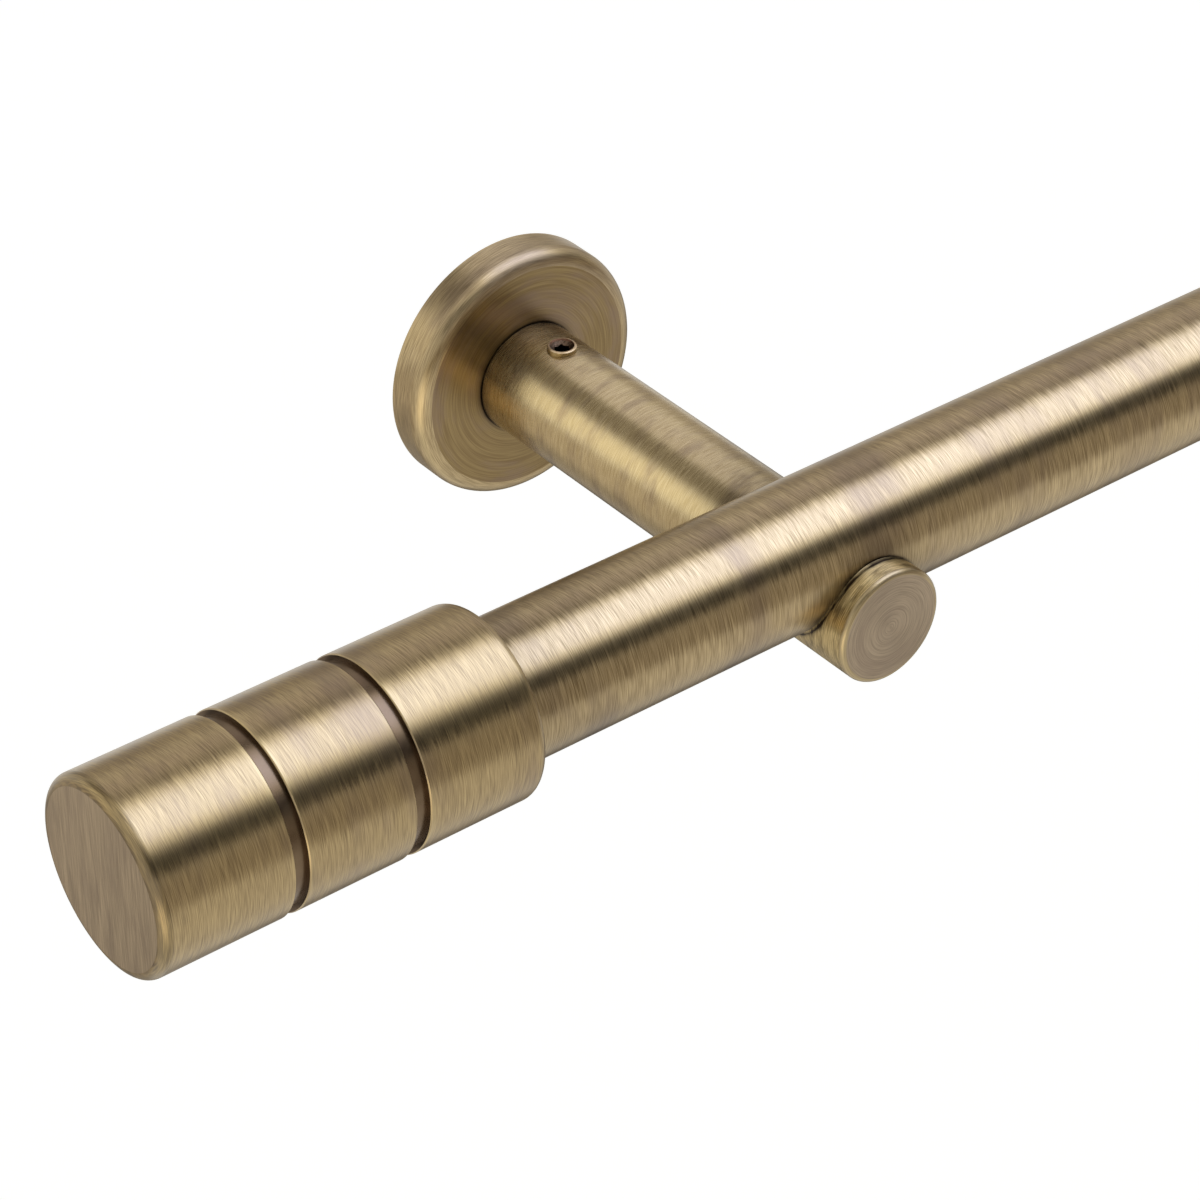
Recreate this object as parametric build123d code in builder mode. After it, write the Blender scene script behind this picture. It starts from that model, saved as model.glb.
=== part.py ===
"""Metal curtain rod for a wall: a brushed tube on two cradle brackets, with a turned finial on each end.

Millimetres. +X runs along the pole, +Y points into the wall and +Z is up.
The origin is the centre of the left bracket's wall plate, on the wall.
"""

import os

from build123d import *

os.makedirs("parts", exist_ok=True)

# Pole: one length of round tube
pole_diameter = 28.0
pole_wall = 1.2
pole_length = 1200.0
pole_end_chamfer = 0.3
pole_projection = 101.0  # wall to the pole's axis
bracket_inset = 105.0  # each end of the pole to the bracket beside it

# Finials: turned barrels with two grooves and a stepped blind bore
finial_diameter = 38.0
finial_length = 80.0
finial_rim_rounding = 2.0
finial_end_wall = 5.0
finial_shoulder = 2.0  # step in the bore that the pole's end stops at
pole_entry = 25.0
pole_end_gap = 0.3
outer_band = 26.5  # plain barrel between the outer end and the first groove
middle_band = 22.3  # plain barrel between the two grooves
groove_width = 2.8
groove_depth = 1.2
groove_lip_chamfer = 0.2
finial_screw_setback = 10.0  # from the finial's inner end

# Stems: round bars with a cradle cut across them for the pole
stem_diameter = 24.0
cradle_clearance = 0.15
cradle_web = 7.15  # metal left under the pole
nose_thickness = 5.05  # metal left in front of the pole
nose_rounding = 1.0
stem_back_chamfer = 0.3

# Roses: turned cups that hide the wall plates
rose_diameter = 55.4
rose_depth = 9.0
rose_wall = 2.0
rose_rounding = 3.3
rose_bore_clearance = 0.5

# Wall plates, each with two countersunk holes for wood screws
plate_thickness = 3.0
plate_rim_clearance = 0.5
plate_edge_chamfer = 0.4
wall_screw_diameter = 5.0
wall_screw_head_diameter = 9.0
countersink_angle = 90

# Spigots: turned studs on the plates, which the stems slide over
spigot_diameter = 16.0
spigot_reach = 22.0  # into the stem
spigot_fit = 0.1
spigot_tip_gap = 1.0
spigot_tip_chamfer = 1.0
spigot_groove_depth = 1.0
spigot_groove_width = 6.6

# Countersunk machine screw that holds a spigot to its plate
spigot_screw_diameter = 5.0
spigot_screw_head_diameter = 9.2
spigot_screw_entry = 10.0  # into the spigot
spigot_screw_clearance = 0.1
spigot_screw_hole_spare = 2.0
spigot_screw_key = 3.0

# Hexagon socket set screws
stem_screw_diameter = 6.0
stem_screw_key = 3.0
stem_screw_setback = 11.4  # in front of the rose
stem_screw_stand = 0.9  # how far it stands out of the stem
pole_screw_diameter = 5.0
pole_screw_key = 2.5
pole_screw_recess = 1.2
finial_screw_diameter = 4.0
finial_screw_key = 2.0
finial_screw_recess = 0.9
thread_clearance = 0.05
tip_clearance = 0.05
set_screw_chamfer = 0.4

# Sizes that follow
pole_radius = pole_diameter / 2
finial_radius = finial_diameter / 2
stem_radius = stem_diameter / 2
rose_radius = rose_diameter / 2
spigot_radius = spigot_diameter / 2
cradle_radius = pole_radius + cradle_clearance
pole_height = cradle_web + cradle_radius - stem_radius  # pole's axis above the stem's axis
stem_nose = pole_projection + cradle_radius + nose_thickness  # wall to the stem's front face
plate_radius = rose_radius - rose_wall - plate_rim_clearance
wall_screw_circle = (spigot_radius + plate_radius) / 2
stem_screw_distance = rose_depth + stem_screw_setback  # wall to the stem's set screw
bracket_span = pole_length - 2 * bracket_inset


def facing_room(x, distance):
    """Plane parallel to the wall, facing the room, centred on the stem's axis."""
    return Plane(origin=(x, -distance, 0), x_dir=(1, 0, 0), z_dir=(0, -1, 0))


def facing_wall(x, distance):
    """The same plane turned to face the wall."""
    return Plane(origin=(x, -distance, 0), x_dir=(1, 0, 0), z_dir=(0, 1, 0))


def across_pole(x):
    """Plane square to the pole, centred on its axis: local X to the wall, local Y up."""
    return Plane(origin=(x, -pole_projection, pole_height), x_dir=(0, 1, 0), z_dir=(1, 0, 0))


def facing_down(x, distance, z):
    """Plane facing the floor, at a distance from the wall."""
    return Plane(origin=(x, -distance, z), x_dir=(1, 0, 0), z_dir=(0, 0, -1))


def facing_up(x, distance, z):
    """Plane facing the ceiling, at a distance from the wall."""
    return Plane(origin=(x, -distance, z), x_dir=(1, 0, 0), z_dir=(0, 0, 1))


def save(piece, name):
    """Label a finished piece and write it under its name."""
    piece.label = name
    export_step(piece, f"parts/{name}.step")


def make_pole():
    """Round tube with both ends deburred."""
    with BuildPart() as pole:
        with BuildSketch(across_pole(-bracket_inset)):
            Circle(pole_radius)
            Circle(pole_radius - pole_wall, mode=Mode.SUBTRACT)
        extrude(amount=pole_length)
        rims = pole.edges().filter_by(GeomType.CIRCLE).group_by(SortBy.RADIUS)[-1]
        chamfer(rims, length=pole_end_chamfer)
    return pole.part


def make_finial(inner_end, outward):
    """Turned barrel: its inner end is at x = inner_end, and outward is -1 or 1 along X."""
    profile_plane = Plane(
        origin=(inner_end, -pole_projection, pole_height),
        x_dir=(outward, 0, 0),
        z_dir=(0, -outward, 0),
    )
    socket_radius = pole_radius + cradle_clearance
    socket_depth = pole_entry + pole_end_gap
    core_radius = socket_radius - finial_shoulder
    core_end = finial_length - finial_end_wall
    first_groove = finial_length - outer_band - groove_width / 2
    second_groove = first_groove - groove_width - middle_band
    with BuildPart() as finial:
        with BuildSketch(profile_plane):
            with BuildLine():
                Polyline(
                    (0, socket_radius),
                    (0, finial_radius),
                    (finial_length, finial_radius),
                    (finial_length, 0),
                    (core_end, 0),
                    (core_end, core_radius),
                    (socket_depth, core_radius),
                    (socket_depth, socket_radius),
                    close=True,
                )
            make_face()
            with Locations((first_groove, finial_radius), (second_groove, finial_radius)):
                Rectangle(groove_width, 2 * groove_depth, mode=Mode.SUBTRACT)
        revolve(axis=Axis(profile_plane.origin, profile_plane.x_dir))
        rings = finial.edges().filter_by(GeomType.CIRCLE).group_by(SortBy.RADIUS)[-1].sort_by(Axis.X)
        fillet([rings[0], rings[-1]], radius=finial_rim_rounding)
        lips = finial.edges().filter_by(GeomType.CIRCLE).group_by(SortBy.RADIUS)[-1].sort_by(Axis.X)
        chamfer(lips[1:-1], length=groove_lip_chamfer)
        screw_x = inner_end + outward * finial_screw_setback
        with Locations(facing_down(screw_x, pole_projection, pole_height - finial_radius)):
            Hole(finial_screw_diameter / 2 + thread_clearance, depth=finial_radius)
    return finial.part


def make_stem(x):
    """Round bar with a cradle for the pole, a blind bore for the spigot and two tapped holes."""
    with BuildPart() as stem:
        with BuildSketch(facing_room(x, rose_depth)):
            Circle(stem_radius)
        extrude(amount=stem_nose - rose_depth)
        ends = stem.edges().filter_by(GeomType.CIRCLE).sort_by(Axis.Y)
        fillet(ends[0], radius=nose_rounding)
        chamfer(ends[-1], length=stem_back_chamfer)
        with BuildSketch(across_pole(x)):
            with BuildLine():
                ThreePointArc((-cradle_radius, 0), (0, -cradle_radius), (cradle_radius, 0))
                Polyline(
                    (cradle_radius, 0),
                    (cradle_radius, stem_diameter),
                    (-cradle_radius, stem_diameter),
                    (-cradle_radius, 0),
                )
            make_face()
        extrude(amount=stem_diameter, both=True, mode=Mode.SUBTRACT)
        with Locations(facing_wall(x, rose_depth)):
            Hole(spigot_radius + spigot_fit, depth=spigot_reach + spigot_tip_gap)
        with Locations(facing_up(x, stem_screw_distance, stem_radius)):
            Hole(stem_screw_diameter / 2 + thread_clearance, depth=stem_radius)
        with Locations(facing_down(x, pole_projection, -stem_radius)):
            Hole(pole_screw_diameter / 2 + thread_clearance, depth=stem_radius)
    return stem.part


def make_rose(x):
    """Turned cup with a rounded front rim, open to the wall, with a bore for the spigot."""
    with BuildPart() as rose:
        with BuildSketch(facing_room(x, 0)):
            Circle(rose_radius)
        extrude(amount=rose_depth)
        front_rim = rose.edges().filter_by(GeomType.CIRCLE).sort_by(Axis.Y)[0]
        fillet(front_rim, radius=rose_rounding)
        with Locations(facing_wall(x, 0)):
            Hole(rose_radius - rose_wall, depth=rose_depth - rose_wall)
        with Locations(facing_room(x, rose_depth)):
            Hole(spigot_radius + rose_bore_clearance)
    return rose.part


def make_wall_plate(x):
    """Flat disc: two holes for wood screws, countersunk in front, and one countersunk behind."""
    with BuildPart() as plate:
        with BuildSketch(facing_room(x, 0)):
            Circle(plate_radius)
        extrude(amount=plate_thickness)
        front_rim = plate.edges().filter_by(GeomType.CIRCLE).sort_by(Axis.Y)[0]
        chamfer(front_rim, length=plate_edge_chamfer)
        with Locations(facing_room(x, plate_thickness)):
            with PolarLocations(wall_screw_circle, 2, start_angle=90):
                CounterSinkHole(
                    wall_screw_diameter / 2,
                    wall_screw_head_diameter / 2,
                    counter_sink_angle=countersink_angle,
                )
        with Locations(facing_wall(x, 0)):
            CounterSinkHole(
                spigot_screw_diameter / 2 + spigot_screw_clearance,
                spigot_screw_head_diameter / 2 + 2 * spigot_screw_clearance,
                counter_sink_angle=countersink_angle,
            )
    return plate.part


def make_spigot(x):
    """Turned stud with a groove that the stem's set screw bites into, tapped from behind."""
    length = rose_depth - plate_thickness + spigot_reach
    with BuildPart() as spigot:
        with BuildSketch(facing_room(x, plate_thickness)):
            Circle(spigot_radius)
        extrude(amount=length)
        tip = spigot.edges().filter_by(GeomType.CIRCLE).sort_by(Axis.Y)[0]
        chamfer(tip, length=spigot_tip_chamfer)
        with BuildSketch(facing_room(x, stem_screw_distance)):
            Circle(spigot_radius)
            Circle(spigot_radius - spigot_groove_depth, mode=Mode.SUBTRACT)
        extrude(amount=spigot_groove_width / 2, both=True, mode=Mode.SUBTRACT)
        with Locations(facing_wall(x, plate_thickness)):
            Hole(
                spigot_screw_diameter / 2 + thread_clearance,
                depth=spigot_screw_entry + spigot_screw_hole_spare,
            )
    return spigot.part


def make_spigot_screw(x):
    """Countersunk machine screw with a hexagon socket, its head just under the plate's back."""
    shank_radius = spigot_screw_diameter / 2
    head_radius = spigot_screw_head_diameter / 2
    head_height = head_radius - shank_radius
    tip = plate_thickness + spigot_screw_entry
    with BuildPart() as screw:
        with BuildSketch(Plane(origin=(x, 0, 0), x_dir=(0, -1, 0), z_dir=(0, 0, 1))):
            with BuildLine():
                Polyline(
                    (spigot_screw_clearance, 0),
                    (spigot_screw_clearance, head_radius),
                    (spigot_screw_clearance + head_height, shank_radius),
                    (tip - set_screw_chamfer, shank_radius),
                    (tip, shank_radius - set_screw_chamfer),
                    (tip, 0),
                    close=True,
                )
            make_face()
        revolve(axis=Axis((x, 0, 0), (0, 1, 0)))
        with BuildSketch(facing_wall(x, spigot_screw_clearance)):
            RegularPolygon(spigot_screw_key / 2, 6, major_radius=False)
        extrude(amount=-head_height, mode=Mode.SUBTRACT)
    return screw.part


def make_set_screw(outer_end, diameter, length, key):
    """Hexagon socket set screw, running inwards from the plane of its outer end."""
    with BuildPart() as screw:
        with BuildSketch(outer_end):
            Circle(diameter / 2)
        extrude(amount=-length)
        chamfer(screw.edges().filter_by(GeomType.CIRCLE), length=set_screw_chamfer)
        with BuildSketch(outer_end):
            RegularPolygon(key / 2, 6, major_radius=False)
        extrude(amount=-length / 2, mode=Mode.SUBTRACT)
    return screw.part


def make_stem_screw(x):
    """Set screw on top of the stem, a little proud of it, down to the floor of the spigot's groove."""
    outer = stem_radius + stem_screw_stand
    inner = spigot_radius - spigot_groove_depth + tip_clearance
    plane = facing_up(x, stem_screw_distance, outer)
    return make_set_screw(plane, stem_screw_diameter, outer - inner, stem_screw_key)


def make_pole_screw(x):
    """Set screw under the cradle, up to the underside of the pole."""
    outer = pole_screw_recess - stem_radius
    inner = pole_height - pole_radius - tip_clearance
    plane = facing_down(x, pole_projection, outer)
    return make_set_screw(plane, pole_screw_diameter, inner - outer, pole_screw_key)


def make_finial_screw(inner_end, outward):
    """Set screw under the finial, up to the underside of the pole."""
    outer = pole_height - finial_radius + finial_screw_recess
    inner = pole_height - pole_radius - tip_clearance
    plane = facing_down(inner_end + outward * finial_screw_setback, pole_projection, outer)
    return make_set_screw(plane, finial_screw_diameter, inner - outer, finial_screw_key)


save(make_pole(), "pole")

# Each side: its name, its bracket's place, its finial's inner end and the way outwards
sides = (
    ("left", 0, pole_entry - bracket_inset, -1),
    ("right", bracket_span, bracket_span + bracket_inset - pole_entry, 1),
)

for side, bracket_x, finial_x, outward in sides:
    save(make_finial(finial_x, outward), f"{side}_finial")
    save(make_finial_screw(finial_x, outward), f"{side}_finial_set_screw")
    save(make_stem(bracket_x), f"{side}_stem")
    save(make_stem_screw(bracket_x), f"{side}_stem_set_screw")
    save(make_pole_screw(bracket_x), f"{side}_pole_set_screw")
    save(make_rose(bracket_x), f"{side}_rose")
    save(make_wall_plate(bracket_x), f"{side}_wall_plate")
    save(make_spigot(bracket_x), f"{side}_spigot")
    save(make_spigot_screw(bracket_x), f"{side}_spigot_screw")
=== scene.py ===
"""Looks of the metal curtain rod: lacquered antique brass on a grooved finial, a pole and its brackets.

Metres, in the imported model's frame: +X along the pole, +Y into the wall, +Z up.
"""

import logging
import math
from collections.abc import Callable
from dataclasses import dataclass, field, replace
from enum import Enum

import bpy
from bpy.types import Material, Mesh, Node, NodeSocket, NodeTree, Object
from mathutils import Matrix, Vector


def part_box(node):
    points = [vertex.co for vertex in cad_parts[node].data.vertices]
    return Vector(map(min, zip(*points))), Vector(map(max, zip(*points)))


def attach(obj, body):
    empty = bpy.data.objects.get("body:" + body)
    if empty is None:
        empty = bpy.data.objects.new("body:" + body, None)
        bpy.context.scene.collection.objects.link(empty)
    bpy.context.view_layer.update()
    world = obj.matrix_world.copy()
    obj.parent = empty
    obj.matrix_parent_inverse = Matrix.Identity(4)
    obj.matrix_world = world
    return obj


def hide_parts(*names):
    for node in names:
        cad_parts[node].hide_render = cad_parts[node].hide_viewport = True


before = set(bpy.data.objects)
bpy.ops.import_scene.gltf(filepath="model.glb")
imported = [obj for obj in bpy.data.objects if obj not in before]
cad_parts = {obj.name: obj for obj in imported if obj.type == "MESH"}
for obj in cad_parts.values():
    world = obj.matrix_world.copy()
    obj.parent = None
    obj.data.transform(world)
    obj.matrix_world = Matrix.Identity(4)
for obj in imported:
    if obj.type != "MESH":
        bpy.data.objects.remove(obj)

log = logging.getLogger("curtain_rod")

MM = 0.001

# Dark residue at a joint: reach in mm and share of its line
JOINT_LINE = 0.28
JOINT_LINE_SHARE = 0.75

# Rings of a turned mesh beside a worn edge, and the least distance between two, in mm
FINE_RINGS = (0.15, 0.35, 0.65, 1.1)
RING_GAP = 0.02

# Points closer than this, in mm, are one
SAME_POINT = 1e-6

# Least share of a face's own normal along the true one
SAME_WAY = 0.5

# Share of a rounding's radius that its middle lies in from the corner
ROUND_INSET = 1 - math.sqrt(0.5)

# Wear of the cradle's edges, beside that of the worn rings
CRADLE_WEAR = 0.6

# Corners of a hexagon socket
HEXAGON = 6


def linear(shade: str) -> tuple[float, float, float, float]:
    """Turn an sRGB hex colour into the linear colour that a shader takes.

    Args:
        shade: The colour as "#rrggbb".

    Returns:
        Red, green, blue and an alpha of 1.
    """
    channels = []
    for start in (1, 3, 5):
        value = int(shade[start : start + 2], 16) / 255
        if value <= 0.04045:
            channels.append(value / 12.92)
        else:
            channels.append(((value + 0.055) / 1.055) ** 2.4)
    return (*channels, 1.0)


def add_node(
    tree: NodeTree, kind: str, settings: dict | None = None, inputs: dict | None = None
) -> Node:
    """Add a node with its settings, its input values and its links.

    Args:
        tree: The tree that the node joins.
        kind: The node's type.
        settings: Attributes of the node.
        inputs: For each input, by name or number, a value or the socket to link.

    Returns:
        The new node.
    """
    node = tree.nodes.new(kind)
    for name, value in (settings or {}).items():
        setattr(node, name, value)
    for name, value in (inputs or {}).items():
        if isinstance(value, NodeSocket):
            tree.links.new(value, node.inputs[name])
        else:
            node.inputs[name].default_value = value
    return node


def new_material(name: str) -> tuple[Material, NodeTree, Node]:
    """Make an empty material with its output node.

    Args:
        name: The material's name.

    Returns:
        The material, its node tree and its output node.
    """
    material = bpy.data.materials.new(name)
    material.use_nodes = True
    tree = material.node_tree
    tree.nodes.clear()
    return material, tree, add_node(tree, "ShaderNodeOutputMaterial")


class BrushLines(Enum):
    """Which way the brush or the lathe tool ran over a face."""

    ROUND_POLE = "round the pole's axis"
    ROUND_STEM = "round the stem's axis"
    RINGS = "in rings about the stem's axis"
    STRAIGHT = "straight, close to upright"


@dataclass(frozen=True)
class AntiqueBrass:
    """Brass, darkened by an antiquing bath, brushed back and lacquered.

    The eye sees a tan metal with fine lighter and darker brush lines, grey-brown patches where
    the bath was not brushed back, yellow edges where it was brushed through, dark lines at the
    joints with painted shade beside them, and highlights that are drawn out across the lines.
    """

    name: str
    lines: BrushLines
    line_light: str = "#bca67e"
    line_dark: str = "#897655"
    patina: str = "#806e5c"
    edge: str = "#c4ae80"
    # Dark joint lines, and painted shade beside the joints
    dark_joint_and_painted_shade: str = "#281d12"
    # Real scratches of a 180 grit brush are 0.08 mm apart, too fine to show: drawn 0.11 mm apart
    line_pitch: float = 0.11
    line_length: float = 5.0
    line_depth: float = 0.012
    line_lean: float = 4.0
    waver: float = 0.075
    patch_width: float = 12.0
    patch_length: float = 36.0
    patch_share: float = 0.5
    roughness: float = 0.35
    roughness_spread: float = 0.08
    anisotropy: float = 0.7
    lacquer: float = 0.1
    lacquer_roughness: float = 0.2

    def across(self, tree: NodeTree, place: NodeSocket) -> NodeSocket:
        """Give the direction along the face and square to the brush lines.

        Args:
            tree: The material's node tree.
            place: The place on the piece.

        Returns:
            A socket with the direction.
        """
        if self.lines is BrushLines.RINGS:
            flat = add_node(
                tree, "ShaderNodeVectorMath", {"operation": "MULTIPLY"}, {0: place, 1: (1, 0, 1)}
            )
            outward = add_node(
                tree, "ShaderNodeVectorMath", {"operation": "NORMALIZE"}, {0: flat.outputs[0]}
            )
            return outward.outputs[0]
        along_x = 1.0 if self.lines is BrushLines.ROUND_POLE else 0.0
        fixed = add_node(tree, "ShaderNodeCombineXYZ", inputs={"X": along_x, "Y": 1.0 - along_x})
        return fixed.outputs[0]

    def grain(
        self, tree: NodeTree, place: NodeSocket, pitch: float, length: float, lean: float, detail: float
    ) -> NodeSocket:
        """Give noise that is drawn out along the brush lines, without a seam.

        Args:
            tree: The material's node tree.
            place: The place on the piece.
            pitch: Width of one line, in mm.
            length: Length of one line, in mm.
            lean: How far the lines lean, in degrees.
            detail: Octaves of finer noise.

        Returns:
            A socket with the noise, about 0.5 in the middle.
        """
        fine = pitch * MM
        coarse = length * MM
        turn = 0.0 if self.lines is BrushLines.RINGS else math.radians(lean)
        if self.lines in (BrushLines.RINGS, BrushLines.ROUND_STEM):
            # Place along the axis and distance from it in one: lines keep their pitch over a rim
            flat = add_node(
                tree, "ShaderNodeVectorMath", {"operation": "MULTIPLY"}, {0: place, 1: (1, 0, 1)}
            )
            radius = add_node(
                tree, "ShaderNodeVectorMath", {"operation": "LENGTH"}, {0: flat.outputs[0]}
            )
            parts = add_node(tree, "ShaderNodeSeparateXYZ", inputs={0: place})
            over = add_node(
                tree, "ShaderNodeMath", inputs={0: parts.outputs["Y"], 1: radius.outputs["Value"]}
            )
            place = add_node(
                tree,
                "ShaderNodeCombineXYZ",
                inputs={"X": parts.outputs["X"], "Y": over.outputs[0], "Z": parts.outputs["Z"]},
            ).outputs[0]
        sizes = (fine, coarse, coarse) if self.lines is BrushLines.ROUND_POLE else (coarse, fine, coarse)
        leaning = (turn, 0.0, 0.0) if self.lines is BrushLines.STRAIGHT else (turn / 2, 0.0, turn)
        mapped = add_node(
            tree,
            "ShaderNodeMapping",
            {"vector_type": "TEXTURE"},
            {"Vector": place, "Rotation": leaning, "Scale": sizes},
        )
        noise = add_node(
            tree,
            "ShaderNodeTexNoise",
            {"noise_dimensions": "3D"},
            {"Vector": mapped.outputs[0], "Scale": 1.0, "Detail": detail, "Roughness": 0.6},
        )
        return noise.outputs[0]

    def material(self) -> Material:
        """Make the material.

        Returns:
            The brushed, patinated and lacquered brass.
        """
        material, tree, output = new_material(self.name)
        place = add_node(tree, "ShaderNodeTexCoord").outputs["Object"]
        lines = self.grain(tree, place, self.line_pitch, self.line_length, self.line_lean, 1.0)
        # A second pass of the brush leans the other way, a little wider and shorter
        wide, short = 1.6 * self.line_pitch, 0.8 * self.line_length
        crossing = self.grain(tree, place, wide, short, -self.line_lean, 1.0)
        patches = self.grain(tree, place, self.patch_width, self.patch_length, 0.0, 3.0)
        both = add_node(
            tree, "ShaderNodeMix", {"data_type": "FLOAT"}, {"Factor": 0.4, 2: lines, 3: crossing}
        ).outputs[0]

        dull = self.roughness - self.roughness_spread / 2
        duller = self.roughness + self.roughness_spread / 2
        # Each mark's noise, the two levels that it changes between, and its strength at either
        marks = {
            "stroke": (both, 0.38, 0.62, 0.0, 1.0),
            "patina": (patches, 0.45, 0.7, 0.0, self.patch_share),
            "wear": (patches, 0.35, 0.6, 0.55, 0.1),
            "dark_joint_and_painted_shade": (patches, 0.4, 0.62, 0.65, 1.25),
            "roughness": (crossing, 0.3, 0.7, dull, duller),
        }
        strength = {}
        for mark, (noise, low, high, at_low, at_high) in marks.items():
            strength[mark] = add_node(
                tree,
                "ShaderNodeMapRange",
                {"interpolation_type": "SMOOTHSTEP" if mark == "patina" else "LINEAR"},
                {"Value": noise, "From Min": low, "From Max": high, "To Min": at_low, "To Max": at_high},
            ).outputs[0]
        for mark in ("wear", "dark_joint_and_painted_shade"):
            share = add_node(tree, "ShaderNodeAttribute", {"attribute_name": mark}).outputs["Fac"]
            strength[mark] = add_node(
                tree,
                "ShaderNodeMath",
                {"operation": "MULTIPLY", "use_clamp": True},
                {0: share, 1: strength[mark]},
            ).outputs[0]
        # The last layer is the dark joint lines and the painted shade beside the joints
        layers = {
            "stroke": self.line_light, "patina": self.patina, "wear": self.edge, "dark_joint_and_painted_shade": self.dark_joint_and_painted_shade
        }
        colour = linear(self.line_dark)
        for mark, shade in layers.items():
            colour = add_node(
                tree,
                "ShaderNodeMix",
                {"data_type": "RGBA"},
                {"Factor": strength[mark], 6: colour, 7: linear(shade)},
            ).outputs[2]

        across = self.across(tree, place)
        bump = add_node(
            tree,
            "ShaderNodeBump",
            inputs={"Strength": 1.0, "Distance": self.line_depth * MM, "Height": both},
        ).outputs[0]
        along = add_node(
            tree, "ShaderNodeVectorMath", {"operation": "CROSS_PRODUCT"}, {0: across, 1: bump}
        ).outputs[0]
        swing = add_node(
            tree,
            "ShaderNodeMapRange",
            {"clamp": False},
            {"Value": both, "To Min": -self.waver, "To Max": self.waver},
        ).outputs[0]
        tilt = add_node(tree, "ShaderNodeVectorMath", {"operation": "SCALE"}, {0: along, "Scale": swing})
        tilted = add_node(
            tree, "ShaderNodeVectorMath", {"operation": "ADD"}, {0: bump, 1: tilt.outputs[0]}
        )
        normal = add_node(
            tree, "ShaderNodeVectorMath", {"operation": "NORMALIZE"}, {0: tilted.outputs[0]}
        )

        metal = add_node(
            tree,
            "ShaderNodeBsdfPrincipled",
            inputs={
                "Base Color": colour,
                "Metallic": 1.0,
                "Roughness": strength["roughness"],
                "Anisotropic": self.anisotropy,
                "Tangent": across,
                "Normal": normal.outputs[0],
                "Coat Weight": self.lacquer,
                "Coat Roughness": self.lacquer_roughness,
            },
        )
        tree.links.new(metal.outputs[0], output.inputs["Surface"])
        return material


@dataclass(frozen=True)
class PlainMetal:
    """A bare or plated metal as it comes off the machine, with faint cloudy marks.

    The eye sees one even colour with soft clouds and small changes of gloss.
    """

    name: str
    light: str
    dark: str
    roughness: float
    cloud_size: float = 4.0
    mark_depth: float = 0.01
    gloss_change: float = 0.05

    def material(self) -> Material:
        """Make the material.

        Returns:
            The plain metal.
        """
        material, tree, output = new_material(self.name)
        place = add_node(tree, "ShaderNodeTexCoord").outputs["Object"]
        clouds = add_node(
            tree,
            "ShaderNodeTexNoise",
            inputs={"Vector": place, "Scale": 1 / (self.cloud_size * MM), "Detail": 4.0},
        )
        colour = add_node(
            tree,
            "ShaderNodeMix",
            {"data_type": "RGBA"},
            {"Factor": clouds.outputs[0], 6: linear(self.dark), 7: linear(self.light)},
        )
        gloss = add_node(
            tree,
            "ShaderNodeMapRange",
            inputs={
                "Value": clouds.outputs[0],
                "From Min": 0.3,
                "From Max": 0.7,
                "To Min": self.roughness - self.gloss_change,
                "To Max": self.roughness + self.gloss_change,
            },
        )
        bump = add_node(
            tree,
            "ShaderNodeBump",
            inputs={"Strength": 0.5, "Distance": self.mark_depth * MM, "Height": clouds.outputs[0]},
        )
        metal = add_node(
            tree,
            "ShaderNodeBsdfPrincipled",
            inputs={
                "Base Color": colour.outputs[2],
                "Metallic": 1.0,
                "Roughness": gloss.outputs[0],
                "Normal": bump.outputs[0],
            },
        )
        tree.links.new(metal.outputs[0], output.inputs["Surface"])
        return material


def fading(gap: float, reach: float) -> float:
    """Give a share that is 1 where there is no gap and fades over the reach, both in mm."""
    return math.exp(-((max(0.0, gap) / reach) ** 2))


@dataclass(frozen=True)
class Stretch:
    """One straight or round stretch of a turned profile, as (along, radius) points in mm.

    The solid lies on the right of the way it runs. A round stretch has a centre.
    """

    points: tuple[tuple[float, float], ...]
    finish: int = 0
    centre: tuple[float, float] | None = None
    hollow: bool = False

    def holds(self, along: float, radius: float, slack: float) -> bool:
        """Tell whether a place lies on this stretch.

        Args:
            along: Place along the axis, in mm.
            radius: Distance from the axis, in mm.
            slack: How far off it may lie, in mm.

        Returns:
            True if it does.
        """
        (a0, r0), (a1, r1) = self.points[0], self.points[-1]
        low_a, high_a = min(a0, a1) - slack, max(a0, a1) + slack
        low_r, high_r = min(r0, r1) - slack, max(r0, r1) + slack
        if not (low_a <= along <= high_a and low_r <= radius <= high_r):
            return False
        if self.centre is None:
            length = math.hypot(a1 - a0, r1 - r0)
            off = ((along - a0) * (r1 - r0) - (radius - r0) * (a1 - a0)) / length
            return abs(off) <= slack
        size = math.hypot(a0 - self.centre[0], r0 - self.centre[1])
        return abs(math.hypot(along - self.centre[0], radius - self.centre[1]) - size) <= slack

    def normal(self, along: float, radius: float) -> tuple[float, float]:
        """Give the outward normal of the solid at a place on this stretch.

        Args:
            along: Place along the axis, in mm.
            radius: Distance from the axis, in mm.

        Returns:
            The normal's share along the axis and away from it.
        """
        if self.centre is None:
            (a0, r0), (a1, r1) = self.points[0], self.points[-1]
            length = math.hypot(a1 - a0, r1 - r0)
            return -(r1 - r0) / length, (a1 - a0) / length
        out = (along - self.centre[0], radius - self.centre[1])
        size = math.hypot(*out)
        sign = -1.0 if self.hollow else 1.0
        return sign * out[0] / size, sign * out[1] / size


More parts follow.
